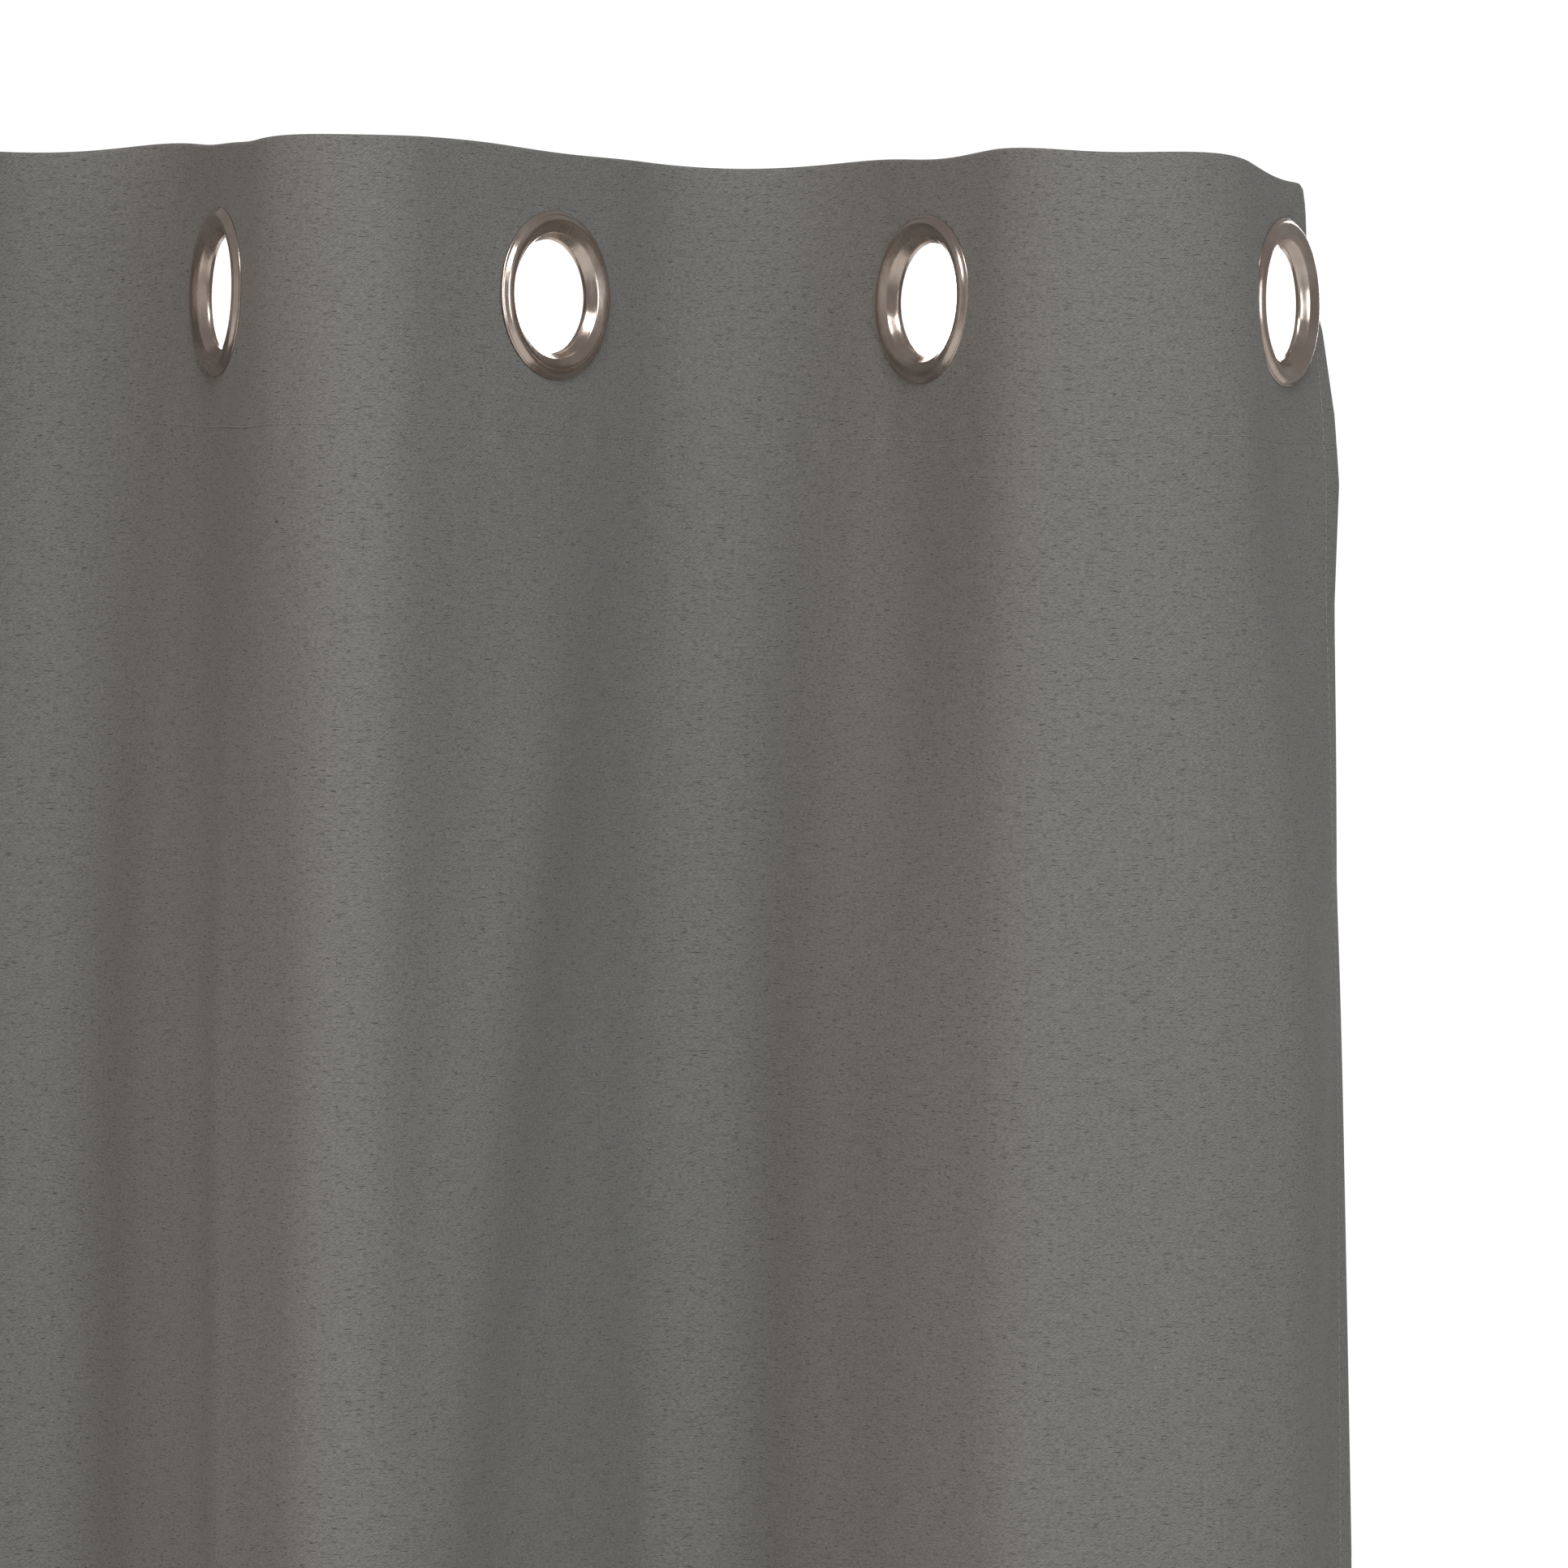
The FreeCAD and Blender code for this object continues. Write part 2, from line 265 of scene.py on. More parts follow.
def ripples(u, v):
    """Small, slow unevenness of hanging cloth, from a few fixed sine waves."""
    rng = np.random.default_rng(11)
    total = np.zeros_like(u)
    waves = 10
    for _ in range(waves):
        across = rng.uniform(3.0, 17.0) * 2 * math.pi
        down = rng.uniform(-1.3, 1.3) * 2 * math.pi
        phase = rng.uniform(0.0, 2 * math.pi)
        total += np.sin(across * u + down * v + phase) / (1.0 + across / 40.0)
    return total / waves


def cloth_middle(u, v):
    """Point on the plan's middle surface, and the direction towards the room."""
    near_ring = np.clip(sum(ridge(u, centre, RING_REACH) for centre in EYELET_U), 0.0, 1.0)
    hang = smooth(v, RING_HOLD * near_ring + HANG_START, HANG_FULL)
    low = smooth(v, LOW_START, PANEL_DROP)
    x, y, heading = (
        np.interp(u, PLAN_U, top) * (1 - hang) + np.interp(u, PLAN_U, below) * hang
        for top, below in ((PLAN_X, HUNG_X), (PLAN_Y, HUNG_Y), (PLAN_HEADING, HUNG_HEADING)))
    out_x = np.sin(heading)
    out_y = -np.cos(heading)
    bulge = np.zeros_like(u)
    for top_u, low_u, width, height, begin, full in FOLDS:
        centre = np.interp(v, (begin, begin + FOLD_DRIFT), (top_u, low_u))
        bulge += height * ridge(u, centre, width) * smooth(v, begin, full)
    bulge += ripples(u, v) * (HEADER_RIPPLE + HUNG_RIPPLE * hang + LOW_RIPPLE * low)
    settle = smooth(v, HEADER_DEPTH - 0.02, HEADER_DEPTH + 0.12)
    bulge *= np.maximum(settle, HEADER_FOLD_SHARE * (1 - near_ring))
    # the free edge at the right is drawn in at the top and flares out low down
    tail = smooth(u, EYELET_U[-1] + EDGE_TAIL, PANEL_WIDTH)
    x = x + tail * np.interp(v, EDGE_HEIGHTS, EDGE_SHIFTS)
    # the top edge droops towards the free corner, and rises or sags a little elsewhere
    droop = sum(depth * smooth(u, PANEL_WIDTH - begin, PANEL_WIDTH - full)
                for depth, begin, full in CORNER_DROOPS)
    droop = droop * np.clip(1 - v / CORNER_DEPTH, 0.0, 1.0) ** 2
    y = y + CORNER_CURL * droop
    sag = sum(ridge(u, centre, width) * depth for centre, width, depth in EDGE_SAGS)
    z = TOP_Z - v - droop - sag * (1 - smooth(v, 0.0, SAG_DEPTH))
    return x + out_x * bulge, y + out_y * bulge, z, out_x, out_y


def layer_offsets(u, v):
    """Front and back face of the cloth, measured towards the room from the middle."""
    from_side = np.minimum(u, PANEL_WIDTH - u)
    front = np.full_like(u, HEADER_THICK / 2)
    thick = np.full_like(u, CLOTH_THICK)
    header = 1 - smooth(v, HEADER_DEPTH, HEADER_DEPTH + EDGE_EASE)
    hem = smooth(v, BOTTOM_HEM_V - EDGE_EASE, BOTTOM_HEM_V)
    side = 1 - smooth(from_side, SIDE_HEM, SIDE_HEM + EDGE_EASE)
    thick += (HEADER_THICK - CLOTH_THICK) * header
    extra = np.maximum(hem, side) * (HEM_THICK - CLOTH_THICK)
    thick = np.maximum(thick, CLOTH_THICK + extra)
    # stitches pull the layers together
    seams = ((v, HEADER_STITCH_V), (v, BOTTOM_STITCH_V), (from_side, SIDE_STITCH_U))
    for place, line in seams:
        dip = STITCH_DIP * ridge(place, line, PULL_WIDTH)
        front -= dip
        thick -= dip
    # puckers beside the header stitches
    waves = np.sin(u / (2.7 * MM)) + np.sin(u / (4.1 * MM) + 1.0)
    front += PUCKER_HEIGHT * ridge(v, HEADER_STITCH_V, PUCKER_REACH) * waves
    # rounded outer edges
    half = thick / 2
    middle = front - half
    edge = np.minimum(from_side, np.minimum(v, PANEL_DROP - v))
    share = np.clip(edge / half, 0.0, 1.0)
    roundness = np.sqrt(np.maximum(1 - (1 - share) ** 2, THINNEST_EDGE))
    return middle + half * roundness, middle - half * roundness


def cloth_point(u, v, towards_room):
    """A point this far towards the room from the middle surface."""
    x, y, z, out_x, out_y = cloth_middle(u, v)
    return np.stack([x + out_x * towards_room, y + out_y * towards_room, z], axis=-1)


# ---------------------------------------------------------------- cloth strips

SMALLEST_STEP = 0.12 * MM
RIM_BAND = 3.8 * MM             # points this close inside a hole's edge move out to it


def graded(low, high, step, fine_at=(), fine=()):
    """Evenly spaced values from low to high, with a few more beside some lines."""
    count = max(2, int(round((high - low) / step)) + 1)
    values = list(np.linspace(low, high, count))
    extra = (line + offset for line in fine_at for offset in fine)
    values += [value for value in extra if low < value < high]
    values = np.unique(np.round(values, 6))
    keep = [values[0]]
    for value in values[1:]:
        if value - keep[-1] > SMALLEST_STEP:
            keep.append(value)
    keep[-1] = values[-1]
    return np.array(keep)


# Heights of the mesh rows: close together in the header, wider below, closer at the hem.
HEADER_ROWS_END = 0.125
HEM_ROWS_START = BOTTOM_HEM_V - 0.01
ROWS = np.unique(np.concatenate([
    graded(0.0, HEADER_ROWS_END, 2.2 * MM, (0.0, HEADER_STITCH_V, HEADER_DEPTH),
           (-1.2 * MM, -0.5 * MM, 0.0, 0.16 * MM, 0.5 * MM, 0.75 * MM, 1.2 * MM)),
    graded(HEADER_ROWS_END, HEM_ROWS_START, 11 * MM),
    graded(HEM_ROWS_START, PANEL_DROP, 7 * MM,
           (BOTTOM_HEM_V, BOTTOM_STITCH_V, PANEL_DROP),
           (-1.2 * MM, -0.6 * MM, -0.15 * MM, 0.0, 0.6 * MM, 1.2 * MM)),
]))


def strip_columns(index):
    """Columns of one strip; the outer strips have extra ones at the hems."""
    edges = (0.0, SIDE_STITCH_U, SIDE_HEM, PANEL_WIDTH - SIDE_HEM,
             PANEL_WIDTH - SIDE_STITCH_U, PANEL_WIDTH)
    return graded(*strip_span(index), 3.6 * MM, edges,
                  (-1.2 * MM, -0.6 * MM, -0.16 * MM, 0.0, 0.16 * MM, 0.6 * MM, 1.2 * MM))


def open_holes(u, v):
    """Move the points just inside each hole out to its rim, and mark those further in."""
    hole = np.zeros(u.shape, bool)
    for centre in EYELET_U:
        du, dv = u - centre, v - TOP_TO_EYELET
        distance = np.hypot(du, dv)
        inside = distance < HOLE_RADIUS
        near = inside & (distance > HOLE_RADIUS - RIM_BAND)
        scale = np.where(near, HOLE_RADIUS / np.maximum(distance, 1e-6), 1.0)
        u = np.where(near, centre + du * scale, u)
        v = np.where(near, TOP_TO_EYELET + dv * scale, v)
        hole |= inside & ~near
    return u, v, hole


def strip_faces(hole):
    """Front, back and rim faces of one strip, and the front's rim edges.

    Front point (i, j) has number i * rows + j, and its back point that plus total."""
    columns, rows = hole.shape
    total = hole.size
    whole = ~(hole[:-1, :-1] | hole[1:, :-1] | hole[:-1, 1:] | hole[1:, 1:])
    faces = []
    rim = []
    for i in range(columns - 1):
        for j in range(rows - 1):
            if not whole[i, j]:
                continue
            a, b = i * rows + j, (i + 1) * rows + j
            faces.append((a, a + 1, b + 1, b))
            faces.append((total + a, total + b, total + b + 1, total + a + 1))
            if i == 0 or not whole[i - 1, j]:
                rim.append((a, a + 1))
            if i == columns - 2 or not whole[i + 1, j]:
                rim.append((b + 1, b))
            if j == 0 or not whole[i, j - 1]:
                rim.append((b, a))
            if j == rows - 2 or not whole[i, j + 1]:
                rim.append((a + 1, b + 1))
    for a, b in rim:
        faces.append((b, a, total + a, total + b))
    return faces, rim


def smooth_mesh(name, points, faces, flat=None):
    """Smooth-shaded mesh, with its flat coordinates for the materials."""
    mesh = bpy.data.meshes.new(name)
    mesh.from_pydata([tuple(point) for point in points], [], faces)
    if flat is not None:
        attribute = mesh.attributes.new("flat", "FLOAT_VECTOR", "POINT")
        attribute.data.foreach_set("vector", np.array(flat, np.float32).ravel())
    mesh.polygons.foreach_set("use_smooth", [True] * len(mesh.polygons))
    mesh.update()
    return mesh


def mark_sharp(mesh, pairs):
    """Keep the rim from tinting the shading of the faces beside it."""
    sharp = mesh.attributes.new("sharp_edge", "BOOLEAN", "EDGE")
    values = [frozenset(edge.vertices) in pairs for edge in mesh.edges]
    sharp.data.foreach_set("value", values)


def strip_mesh(index):
    """Closed mesh of one strip, with round holes behind the eyelet flanges."""
    columns = strip_columns(index)
    u, v, hole = open_holes(*np.meshgrid(columns, ROWS, indexing="ij"))
    u = np.clip(u, columns[0], columns[-1])
    points = np.concatenate([cloth_point(u, v, offset).reshape(-1, 3)
                             for offset in layer_offsets(u, v)])
    # the third flat coordinate tells the back from the front
    flat = np.concatenate([np.stack([u, v, np.full_like(u, side)], axis=-1).reshape(-1, 3)
                           for side in (0.0, 1.0)])
    faces, rim = strip_faces(hole)
    # points inside the holes are dropped
    used = np.unique(np.array(faces).ravel())
    renumber = np.full(len(points), -1)
    renumber[used] = np.arange(len(used))
    renumber = renumber.tolist()
    faces = [tuple(renumber[k] for k in face) for face in faces]
    mesh = smooth_mesh(f"cloth_strip_{index}", points[used], faces, flat[used])
    mark_sharp(mesh, {frozenset((renumber[side + a], renumber[side + b]))
                      for a, b in rim for side in (0, u.size)})
    return mesh


def new_piece(name, mesh, material):
    piece = bpy.data.objects.new(name, mesh)
    bpy.context.scene.collection.objects.link(piece)
    mesh.materials.clear()
    mesh.materials.append(material)
    return piece


def attach(piece, index):
    """The last strip follows the last fold; the others stay fixed in place."""
    if index == COUNT:
        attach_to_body(piece, f"fold_{COUNT}")
        return
    if index == 0:
        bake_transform(piece)
        return
    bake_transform(piece)


# ---------------------------------------------------------------- stitching

# Rings of one stitch: place along it and radius, as shares of its length and the thread's
# radius. It is thinner at its ends.
STITCH_RINGS = [(-0.5, 0.25), (-0.40, 0.85), (-0.15, 1.0), (0.15, 1.0), (0.40, 0.85),
                (0.5, 0.25)]
STITCH_SIDES = 6
STITCH_LIFT = 0.5               # how far a stitch's middle lies above the cloth, in radii
STITCH_SINK = 0.9               # how far its ends dip below its middle, in radii
STITCH_END_MARGIN = 2 * MM      # bare end of a seam across, at the panel's sides
FIRST_SIDE_STITCH = 3           # stitches left out above a side seam
SIDE_SEAM_MARGIN = 5 * MM       # bare end of a side seam, at the bottom


def add_stitch(points, faces, flats, middle, along, out, place):
    """One stitch lying on the cloth, its ends dipping into the needle holes."""
    sides = STITCH_SIDES
    across = np.cross(out, along)
    base = len(points)
    for share, radius in STITCH_RINGS:
        dip = -STITCH_SINK * THREAD_RADIUS * (2 * share) ** 4
        centre = middle + along * (share * STITCH_LENGTH) + out * dip
        for side in range(sides):
            angle = 2 * math.pi * side / sides
            spread = across * math.cos(angle) + out * math.sin(angle)
            points.append(centre + spread * THREAD_RADIUS * radius)
            flats.append((place[0] + share * STITCH_LENGTH, place[1], angle))
    last = (len(STITCH_RINGS) - 1) * sides
    for ring in range(0, last, sides):
        for side in range(sides):
            a = base + ring + side
            b = base + ring + (side + 1) % sides
            faces.append((a, b, b + sides, a + sides))
    faces.append(tuple(base + side for side in reversed(range(sides))))
    faces.append(tuple(base + last + side for side in range(sides)))


def stitch_places(index):
    """(u, v, runs across or down, front or back) for each stitch of one strip."""
    low, high = strip_span(index)
    first = math.ceil(max(low, STITCH_END_MARGIN) / STITCH_PITCH)
    last = math.floor(min(high, PANEL_WIDTH - STITCH_END_MARGIN) / STITCH_PITCH)
    places = [(count * STITCH_PITCH, line, True, front)
              for line in (HEADER_STITCH_V, BOTTOM_STITCH_V)
              for count in range(first, last + 1)
              for front in (True, False)]
    side_lines = {0: SIDE_STITCH_U, COUNT: PANEL_WIDTH - SIDE_STITCH_U}
    if index in side_lines:
        end = int((PANEL_DROP - SIDE_SEAM_MARGIN) / STITCH_PITCH)
        places += [(side_lines[index], count * STITCH_PITCH, False, front)
                   for count in range(FIRST_SIDE_STITCH, end)
                   for front in (True, False)]
    return places


def stitch_mesh(index):
    """All the thread stitches of one strip, front and back, as one mesh."""
    u, v, across, front = (np.array(column) for column in zip(*stitch_places(index)))

    def surface(u_at, v_at):
        front_at, back_at = layer_offsets(u_at, v_at)
        lift = STITCH_LIFT * THREAD_RADIUS
        return cloth_point(u_at, v_at, np.where(front, front_at + lift, back_at - lift))

    step = 0.4 * MM
    middle = surface(u, v)
    along_u = surface(u + step, v) - surface(u - step, v)
    along_v = surface(u, v + step) - surface(u, v - step)
    along_u /= np.linalg.norm(along_u, axis=1)[:, None]
    along_v /= np.linalg.norm(along_v, axis=1)[:, None]
    out = np.cross(along_v, along_u)
    out /= np.linalg.norm(out, axis=1)[:, None]
    points, faces, flats = [], [], []
    for k in range(len(u)):
        along = along_u[k] if across[k] else along_v[k]
        outward = out[k] if front[k] else -out[k]
        add_stitch(points, faces, flats, middle[k], along, outward, (u[k], v[k]))
    return smooth_mesh(f"stitching_{index}", points, faces, flats)


# ---------------------------------------------------------------- materials

class Nodes:
    """Short helpers for one material's node tree."""

    def __init__(self, name):
        self.material = bpy.data.materials.new(name)
        self.material.use_nodes = True
        self.tree = self.material.node_tree
        self.shader = self.tree.nodes["Principled BSDF"]

    def add(self, kind, **settings):
        node = self.tree.nodes.new(kind)
        for key, value in settings.items():
            setattr(node, key, value)
        return node

    def link(self, source, target):
        self.tree.links.new(source, target)

    def math(self, operation, first, second=None, third=None):
        node = self.add("ShaderNodeMath", operation=operation)
        for index, value in enumerate((first, second, third)):
            if value is None:
                continue
            if isinstance(value, (int, float)):
                node.inputs[index].default_value = value
            else:
                self.link(value, node.inputs[index])
        return node.outputs[0]

    def scaled(self, vector, scale):
        node = self.add("ShaderNodeVectorMath", operation="MULTIPLY")
        self.link(vector, node.inputs[0])
        node.inputs[1].default_value = scale
        return node.outputs[0]

    def dot(self, vector, direction):
        node = self.add("ShaderNodeVectorMath", operation="DOT_PRODUCT")
        self.link(vector, node.inputs[0])
        node.inputs[1].default_value = direction
        return node.outputs["Value"]

    def noise(self, vector, scale, detail=2.0, roughness=0.5):
        node = self.add("ShaderNodeTexNoise")
        self.link(vector, node.inputs["Vector"])
        node.inputs["Scale"].default_value = scale
        node.inputs["Detail"].default_value = detail
        node.inputs["Roughness"].default_value = roughness
        return node.outputs["Fac"]

    def between(self, value, low, high, out_low=0.0, out_high=1.0):
        node = self.add("ShaderNodeMapRange", interpolation_type="SMOOTHSTEP")
        self.link(value, node.inputs["Value"])
        node.inputs["From Min"].default_value = low
        node.inputs["From Max"].default_value = high
        node.inputs["To Min"].default_value = out_low
        node.inputs["To Max"].default_value = out_high
        return node.outputs["Result"]

    def mix(self, share, first, second):
        node = self.add("ShaderNodeMix", data_type="RGBA")
        if isinstance(share, (int, float)):
            node.inputs["Factor"].default_value = share
        else:
            self.link(share, node.inputs["Factor"])
        for socket, value in (("A", first), ("B", second)):
            place = next(s for s in node.inputs if s.name == socket and s.type == "RGBA")
            if isinstance(value, tuple):
                place.default_value = (*value, 1.0)
            else:
                self.link(value, place)
        return next(s for s in node.outputs if s.type == "RGBA")

    def bump(self, height, distance, strength):
        node = self.add("ShaderNodeBump")
        node.inputs["Distance"].default_value = distance
        node.inputs["Strength"].default_value = strength
        self.link(height, node.inputs["Height"])
        self.link(node.outputs["Normal"], self.shader.inputs["Normal"])

    def connect(self, socket, value):
        """Link a value to one of the shader's sockets, or set a constant on it."""
        if isinstance(value, (int, float, tuple)):
            self.shader.inputs[socket].default_value = value
        else:
            self.link(value, self.shader.inputs[socket])

    def flat(self):
        """Place on the cloth laid flat, in metres."""
        return self.add("ShaderNodeAttribute", attribute_name="flat").outputs["Vector"]


def cloth_material():
    """Grey linen-look twill: diagonal ribs, uneven yarns, dark slubs, warm variation."""
    nodes = Nodes("grey_linen_cloth")
    flat = nodes.flat()
    # diagonal ribs, 1.1 mm apart, wandering a little
    wander = nodes.noise(nodes.scaled(flat, (60.0, 220.0, 40.0)), 1.0, 3.0)
    diagonal = nodes.dot(flat, (3700.0, 4300.0, 0.0))
    ribs = nodes.math("SINE", nodes.math("MULTIPLY_ADD", wander, 7.0, diagonal))
    ribs_strength = nodes.between(nodes.noise(flat, 90.0, 2.0), 0.35, 0.7, 0.25, 1.0)
    ribs = nodes.math("MULTIPLY", ribs, ribs_strength)
    # yarns across and down
    weft = nodes.noise(nodes.scaled(flat, (640.0, 3000.0, 50.0)), 1.0, 1.0, 0.5)
    warp = nodes.noise(nodes.scaled(flat, (2600.0, 420.0, 50.0)), 1.0, 2.0, 0.6)
    # slubs: short dark flecks, mostly across
    slub_across = nodes.noise(nodes.scaled(flat, (240.0, 3000.0, 30.0)), 1.0, 1.0)
    slub_down = nodes.noise(nodes.scaled(flat, (3000.0, 240.0, 30.0)), 1.0, 1.0)
    long_across = nodes.noise(nodes.scaled(flat, (80.0, 1900.0, 30.0)), 1.0, 2.0)
    fleck_across = nodes.between(slub_across, 0.65, 0.71)
    fleck_down = nodes.between(slub_down, 0.70, 0.76)
    streak = nodes.between(long_across, 0.58, 0.74)
    pale_line = nodes.between(long_across, 0.40, 0.28)
    # needle holes between the header's stitches
    split = nodes.add("ShaderNodeSeparateXYZ")
    nodes.link(flat, split.inputs[0])
    wave = nodes.math("COSINE", nodes.math("MULTIPLY", split.outputs["X"],
                                           2 * math.pi / STITCH_PITCH))
    off_line = nodes.math("ABSOLUTE", nodes.math("SUBTRACT", split.outputs["Y"],
                                                 HEADER_STITCH_V))
    holes = nodes.math("MULTIPLY", nodes.between(wave, -0.90, -0.99),
                       nodes.between(off_line, 0.9 * MM, 0.35 * MM))
    # colour: a warm grey base, then layers, each with its share and its own grey
    tint = nodes.noise(flat, 7.0, 3.0)
    patch = nodes.noise(nodes.scaled(flat, (90.0, 260.0, 20.0)), 1.0, 3.0)
    colour = nodes.mix(tint, (0.1900, 0.1850, 0.1750), (0.2000, 0.1960, 0.1870))
    for share, grey in (
            (nodes.between(patch, 0.3, 0.7, 0.0, 0.20), (0.135, 0.1325, 0.126)),
            (nodes.between(weft, 0.30, 0.70, 0.0, 0.68), (0.085, 0.083, 0.077)),
            (nodes.between(warp, 0.38, 0.66, 0.0, 0.16), (0.310, 0.304, 0.288)),
            (nodes.between(ribs, -1.0, 1.0, 0.0, 0.16), (0.290, 0.285, 0.270)),
            (nodes.math("MULTIPLY", pale_line, 0.18), (0.320, 0.315, 0.300)),
            (nodes.math("MULTIPLY", streak, 0.34), (0.050, 0.049, 0.045)),
            (nodes.math("MULTIPLY", fleck_across, 0.70), (0.026, 0.025, 0.022)),
            (nodes.math("MULTIPLY", fleck_down, 0.60), (0.030, 0.029, 0.026)),
            (nodes.math("MULTIPLY", holes, 0.12), (0.03, 0.03, 0.027))):
        colour = nodes.mix(share, colour, grey)
    nodes.connect("Base Color", colour)
    # relief
    height = nodes.math("MULTIPLY_ADD", ribs, 0.25, weft)
    height = nodes.math("ADD", height, warp)
    height = nodes.math("MULTIPLY_ADD", fleck_across, 0.8, height)
    nodes.bump(height, 0.16 * MM, 0.8)
    nodes.connect("Roughness", nodes.between(weft, 0.2, 0.8, 0.86, 0.97))
    nodes.connect("Specular IOR Level", 0.12)
    nodes.connect("Sheen Weight", 0.10)
    nodes.connect("Sheen Roughness", 0.5)
    nodes.connect("Sheen Tint", (0.9, 0.88, 0.84, 1.0))
    return nodes.material


def thread_material():
    """Grey sewing thread, twisted, a shade lighter than the cloth."""
    nodes = Nodes("sewing_thread")
    flat = nodes.flat()
    twist = nodes.math("SINE", nodes.dot(flat, (16000.0, 16000.0, 2.0)))
    colour = nodes.mix(nodes.between(twist, -1.0, 1.0), (0.210, 0.200, 0.180),
                       (0.360, 0.345, 0.315))
    nodes.connect("Base Color", colour)
    nodes.bump(twist, 0.05 * MM, 0.7)
    nodes.connect("Roughness", 0.7)
    nodes.connect("Specular IOR Level", 0.3)
    return nodes.material


def metal_material(name, colour_low, colour_high, rough_low, rough_high):
    """Polished nickel with faint handling marks and a soft uneven sheen."""
    nodes = Nodes(name)
    place = nodes.add("ShaderNodeTexCoord").outputs["Object"]
    cloud = nodes.noise(place, 60.0, 3.0)
    fine = nodes.noise(nodes.scaled(place, (900.0, 900.0, 160.0)), 1.0, 3.0)
    colour = nodes.mix(nodes.between(cloud, 0.3, 0.7), colour_low, colour_high)
    nodes.connect("Base Color", colour)
    nodes.connect("Metallic", 1.0)
    marks = nodes.math("MULTIPLY_ADD", fine, 0.35, nodes.math("MULTIPLY", cloud, 0.65))
    nodes.connect("Roughness", nodes.between(marks, 0.3, 0.7, rough_low, rough_high))
    dents = nodes.noise(place, 210.0, 1.0)
    height = nodes.math("MULTIPLY_ADD", fine, 0.06, dents)
    nodes.bump(height, 0.25 * MM, 0.35)
    return nodes.material


def floor_material():
    """Matt, nearly white, with a faint cloudiness."""
    nodes = Nodes("pale_floor")
    place = nodes.add("ShaderNodeTexCoord").outputs["Object"]
    colour = nodes.mix(nodes.noise(place, 3.0, 3.0), (0.80, 0.80, 0.79), (0.84, 0.84, 0.83))
    nodes.connect("Base Color", colour)
    nodes.connect("Roughness", 0.8)
    return nodes.material


# ---------------------------------------------------------------- eyelet fronts

# Half section of the pressed front: distance from the axis and height above the header
# cloth, in millimetres. It runs from the lip over the dome, down the tapered throat,
# round the curl behind the washer and back along the underside.
RING_SECTION = [
    (29.90, 0.06), (30.02, 0.28), (29.88, 0.52), (29.45, 0.70), (29.05, 0.95),
    (28.70, 1.45), (28.25, 2.00), (27.65, 2.42), (26.95, 2.62), (26.20, 2.58),
    (25.40, 2.32), (24.60, 1.90), (23.85, 1.48), (23.20, 1.12), (22.75, 0.86),
    (22.52, 0.66), (22.36, 0.40), (22.00, -0.05), (21.50, -0.62), (20.95, -1.22),
    (20.45, -1.80), (20.12, -2.30), (20.00, -2.75), (20.00, -3.60), (20.06, -3.82),
    (20.25, -3.93), (20.60, -3.96), (21.80, -3.94), (22.55, -3.90), (22.88, -3.76),
    (22.98, -3.56), (22.85, -3.38), (20.82, -3.36), (20.82, -2.20), (21.70, -1.00),
    (22.45, 0.04),
]
RING_SEGMENTS = 128
HANDLING_DENTS = 9


def handling_dents(number):
    """Small dents on the lower rim: angle, distance from the axis, width and depth."""
    rng = np.random.default_rng(40 + number)
    return [(rng.uniform(-2.5, -0.6), rng.uniform(28.4, 29.6) * MM,
             rng.uniform(0.5, 1.1) * MM, rng.uniform(0.06, 0.16) * MM)
            for _ in range(HANDLING_DENTS)]


def sunk_by(dents, angle, radius):
    """How far the dents push the metal in at one place."""
    sink = 0.0
    for at_angle, at_radius, width, depth in dents:
        off = math.hypot((angle - at_angle) * radius, radius - at_radius)
        sink += depth * math.exp(-(off / width) ** 2)
    return sink


def ring_mesh(number):
    """Lathe the section round one eyelet's axis, with its dents."""
    centre_x, heading = EYELETS[number - 1]
    out = np.array([math.sin(heading), -math.cos(heading), 0.0])
    along = np.array([math.cos(heading), math.sin(heading), 0.0])
    up = np.array([0.0, 0.0, 1.0])
    centre = np.array([centre_x, 0.0, 0.0]) + out * (HEADER_THICK / 2)
    section = np.array(RING_SECTION) * MM
    dents = handling_dents(number)
    points = []
    for k in range(RING_SEGMENTS):
        angle = 2 * math.pi * k / RING_SEGMENTS
        radial = along * math.cos(angle) + up * math.sin(angle)
        from_right = (angle + math.pi) % (2 * math.pi) - math.pi
        for radius, height in section:
            # only the outside of the dome is dented, not the lip's edge or the throat
            sink = sunk_by(dents, from_right, radius) if height > 0.2 * MM else 0.0
            points.append(centre + radial * radius + out * (height - sink))
    count = len(section)
    faces = []
    for k in range(RING_SEGMENTS):
        following = (k + 1) % RING_SEGMENTS
        for j in range(count):
            beside = (j + 1) % count
            faces.append((k * count + j, k * count + beside,
                          following * count + beside, following * count + j))
    return smooth_mesh(f"eyelet_ring_{number}", points, faces)


# ---------------------------------------------------------------- build the pieces

def build_cloth():
    """The cloth strips and their stitches, in place of the CAD cloth, band and hems."""
    cloth = cloth_material()
    thread = thread_material()
    for index in range(COUNT + 1):
        strip = new_piece(f"cloth_strip_{index}", strip_mesh(index), cloth)
        stitching = new_piece(f"stitching_{index}", stitch_mesh(index), thread)
        attach(strip, index)
        attach(stitching, index)
        if index == 0:
            stands_for = ["side_hem_left"]
        else:
            stands_for = [f"cloth_{index}", f"stiffener_{index}"]
        if index == COUNT:
            stands_for.append("side_hem_right")
        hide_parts(*stands_for)


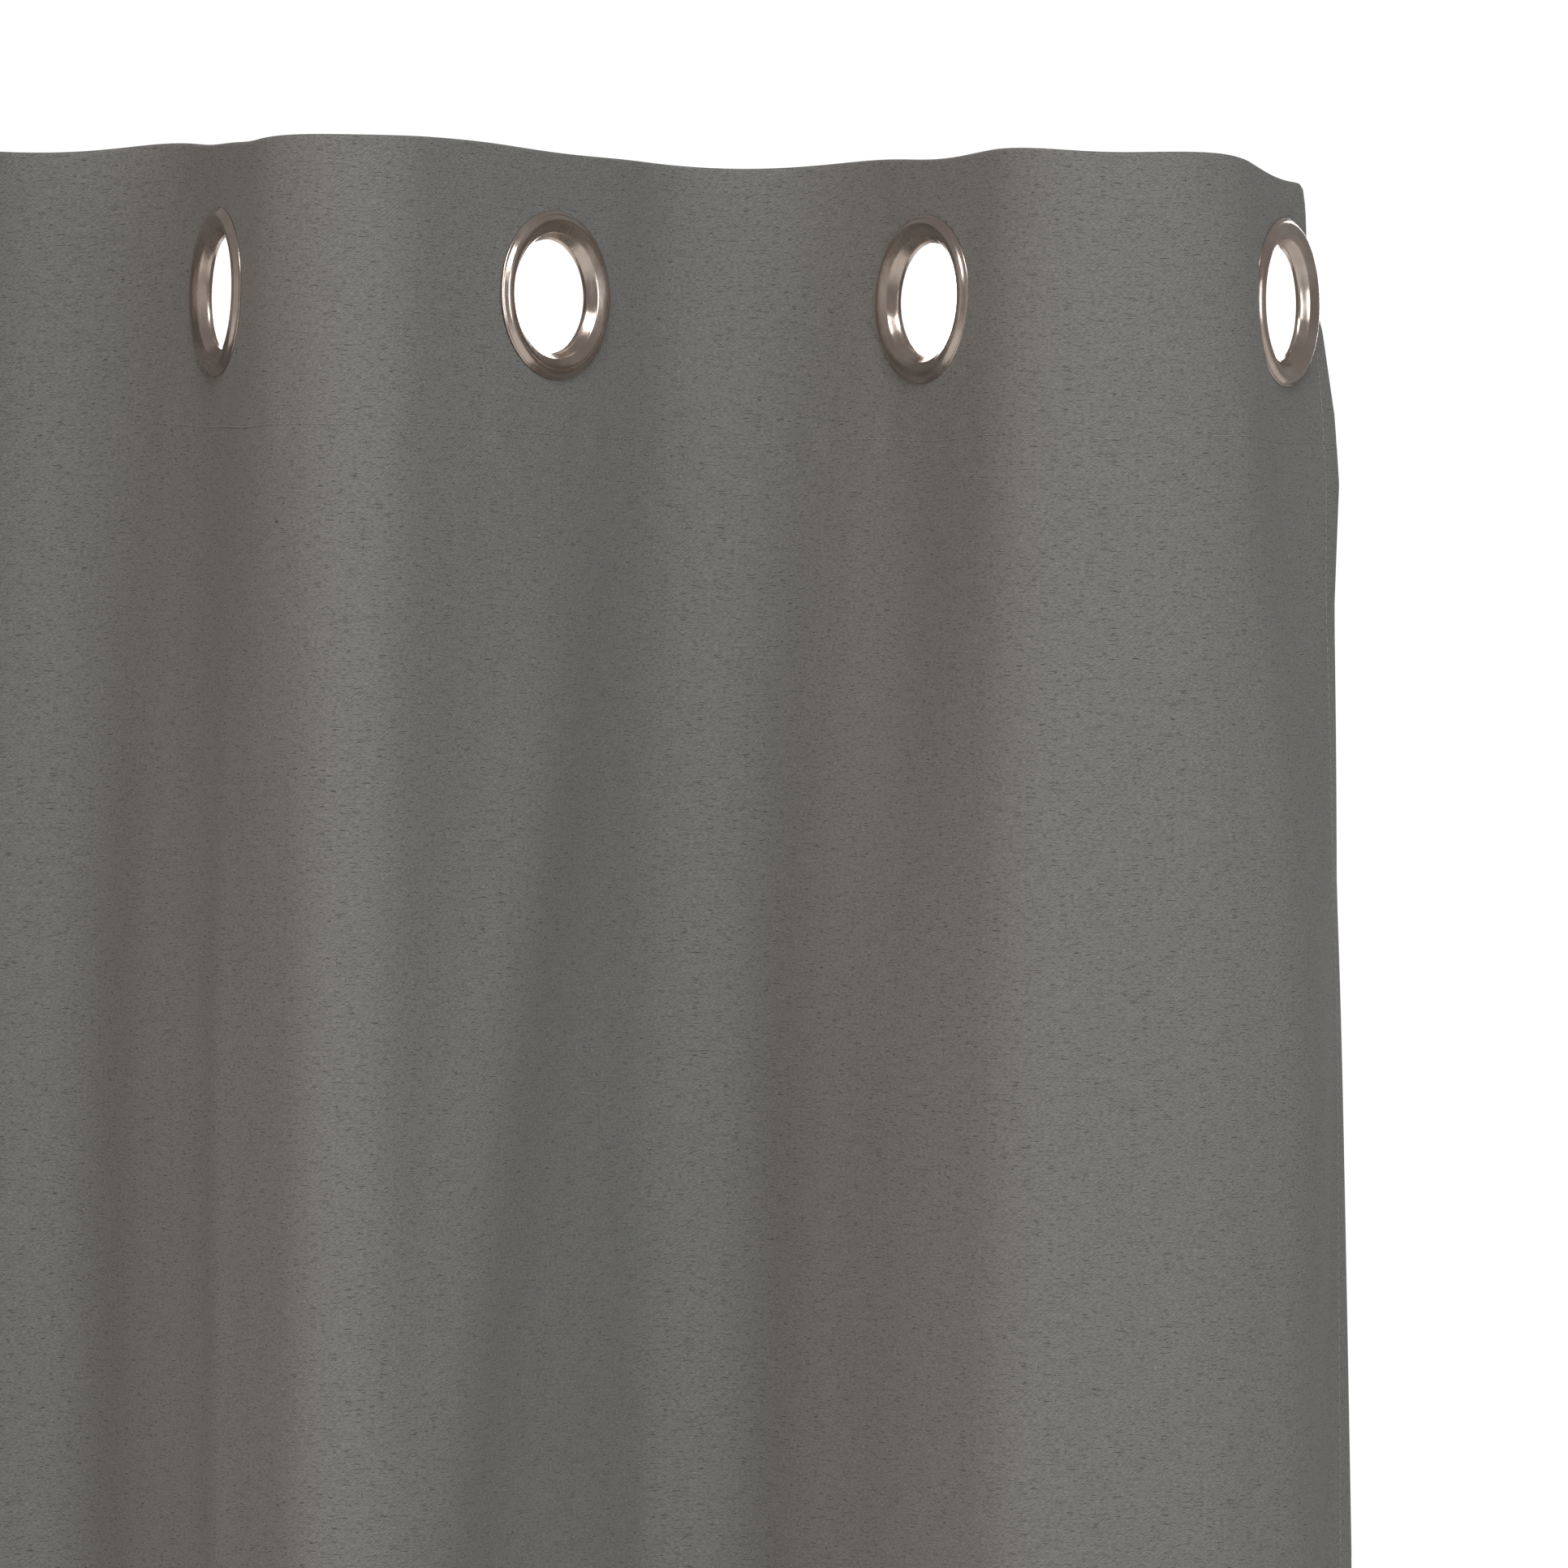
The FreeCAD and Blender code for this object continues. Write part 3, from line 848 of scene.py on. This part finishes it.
def build_eyelets():
    """Detailed fronts in place of the CAD ones, and a satin finish on the CAD washers. The
    fronts' base colour is darkened and warmed brown-pink, a painted reflection of a dim warm
    room.
    """
    # painted reflection: the fronts' nickel colour is darkened and tinted brown-pink to
    # stand for a dim warm room mirrored in it
    front = metal_material("nickel_front_painted_reflection", (0.50, 0.41, 0.355), (0.60, 0.51, 0.455),
                           0.16, 0.30)
    back = metal_material("nickel_back", (0.50, 0.45, 0.42), (0.62, 0.57, 0.53),
                          0.30, 0.44)
    for number in range(1, COUNT + 1):
        ring = new_piece(f"eyelet_ring_{number}", ring_mesh(number), front)
        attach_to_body(ring, f"fold_{number}")
        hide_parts(f"eyelet_front_{number}")
        washer = frame["nodes"][f"eyelet_back_{number}"]
        washer.data.materials.clear()
        washer.data.materials.append(back)


# ---------------------------------------------------------------- room, light and camera

FLOOR_SIZE = 12
FLOOR_GAP = 0.02
IN_VIEW = (0.25, 0, -0.3)       # middle of the cloth that the camera sees
ROOM_LIGHT = 0.27
BACKDROP_LIGHT = 1.05           # what the camera sees behind the panel: plain white


def build_floor():
    bpy.ops.mesh.primitive_plane_add(size=FLOOR_SIZE,
                                     location=(0, 0, TOP_Z - PANEL_DROP - FLOOR_GAP))
    floor = bpy.context.active_object
    floor.name = "floor"
    floor.data.materials.append(floor_material())


def add_light(name, place, target, size, power, colour):
    """Rectangular studio light at a place, turned to its target."""
    data = bpy.data.lights.new(name, "AREA")
    data.shape = "RECTANGLE"
    data.size, data.size_y = size
    data.energy = power
    data.color = colour
    light = bpy.data.objects.new(name, data)
    bpy.context.scene.collection.objects.link(light)
    light.location = place
    aim = Vector(target) - Vector(place)
    light.rotation_euler = aim.to_track_quat("-Z", "Y").to_euler()
    return light


def build_lights():
    add_light("high", (0.3, -3.2, 2.6), IN_VIEW, (2.4, 1.6), 108, (0.98, 0.98, 1.0))
    # the cloth gets warm light from the left, and the metal reflects a paler one
    left = ((-3.0, -2.6, 0.0), IN_VIEW, (1.8, 3.4))
    add_light("left", *left, 35, (1.0, 0.83, 0.60)).visible_glossy = False
    add_light("left_glint", *left, 37, (1.0, 0.95, 0.92)).visible_diffuse = False
    add_light("right", (2.3, -3.6, 0.0), IN_VIEW, (1.2, 3.0), 40, (0.93, 0.98, 1.0))
    add_light("behind", (0.3, 3.6, 0.8), (0.0, 0, -0.8), (3.0, 3.0), 150, (1.0, 1.0, 1.0))


def build_world():
    """Even light from the room, a little warmer in reflections, and a white backdrop."""
    world = bpy.data.worlds.new("studio")
    bpy.context.scene.world = world
    world.use_nodes = True
    tree = world.node_tree
    path = tree.nodes.new("ShaderNodeLightPath")
    background = tree.nodes["Background"]
    background.inputs["Color"].default_value = (1.0, 0.99, 0.97, 1.0)
    background.inputs["Strength"].default_value = ROOM_LIGHT
    for kind, colour, strength in (("Is Glossy Ray", (1.0, 0.98, 0.96, 1.0), ROOM_LIGHT),
                                   ("Is Camera Ray", (1.0, 1.0, 1.0, 1.0), BACKDROP_LIGHT)):
        seen = tree.nodes.new("ShaderNodeBackground")
        seen.inputs["Color"].default_value = colour
        seen.inputs["Strength"].default_value = strength
        mix = tree.nodes.new("ShaderNodeMixShader")
        tree.links.new(path.outputs[kind], mix.inputs["Fac"])
        tree.links.new(background.outputs[0], mix.inputs[1])
        tree.links.new(seen.outputs[0], mix.inputs[2])
        background = mix
    tree.links.new(background.outputs[0], tree.nodes["World Output"].inputs["Surface"])


# The photograph's viewpoint: level, in front of the panel's right half, slightly rolled.
CAMERA_PLACE = (0.2665, -2.476, -0.1727)
CAMERA_ROLL_DEGREES = 0.57
SENSOR_MM = 36.0
LENS_MM = 160.0


def build_camera():
    data = bpy.data.cameras.new("camera")
    data.sensor_width = SENSOR_MM
    data.lens = LENS_MM
    camera = bpy.data.objects.new("camera", data)
    bpy.context.scene.collection.objects.link(camera)
    roll = Matrix.Rotation(math.radians(CAMERA_ROLL_DEGREES), 4, "Z")
    level = Matrix.Rotation(math.radians(90), 4, "X")
    camera.matrix_world = Matrix.Translation(CAMERA_PLACE) @ level @ roll
    bpy.context.scene.camera = camera


build_eyelets()
build_cloth()
build_floor()
build_lights()
build_world()
build_camera()
bpy.context.scene.view_settings.view_transform = "Standard"
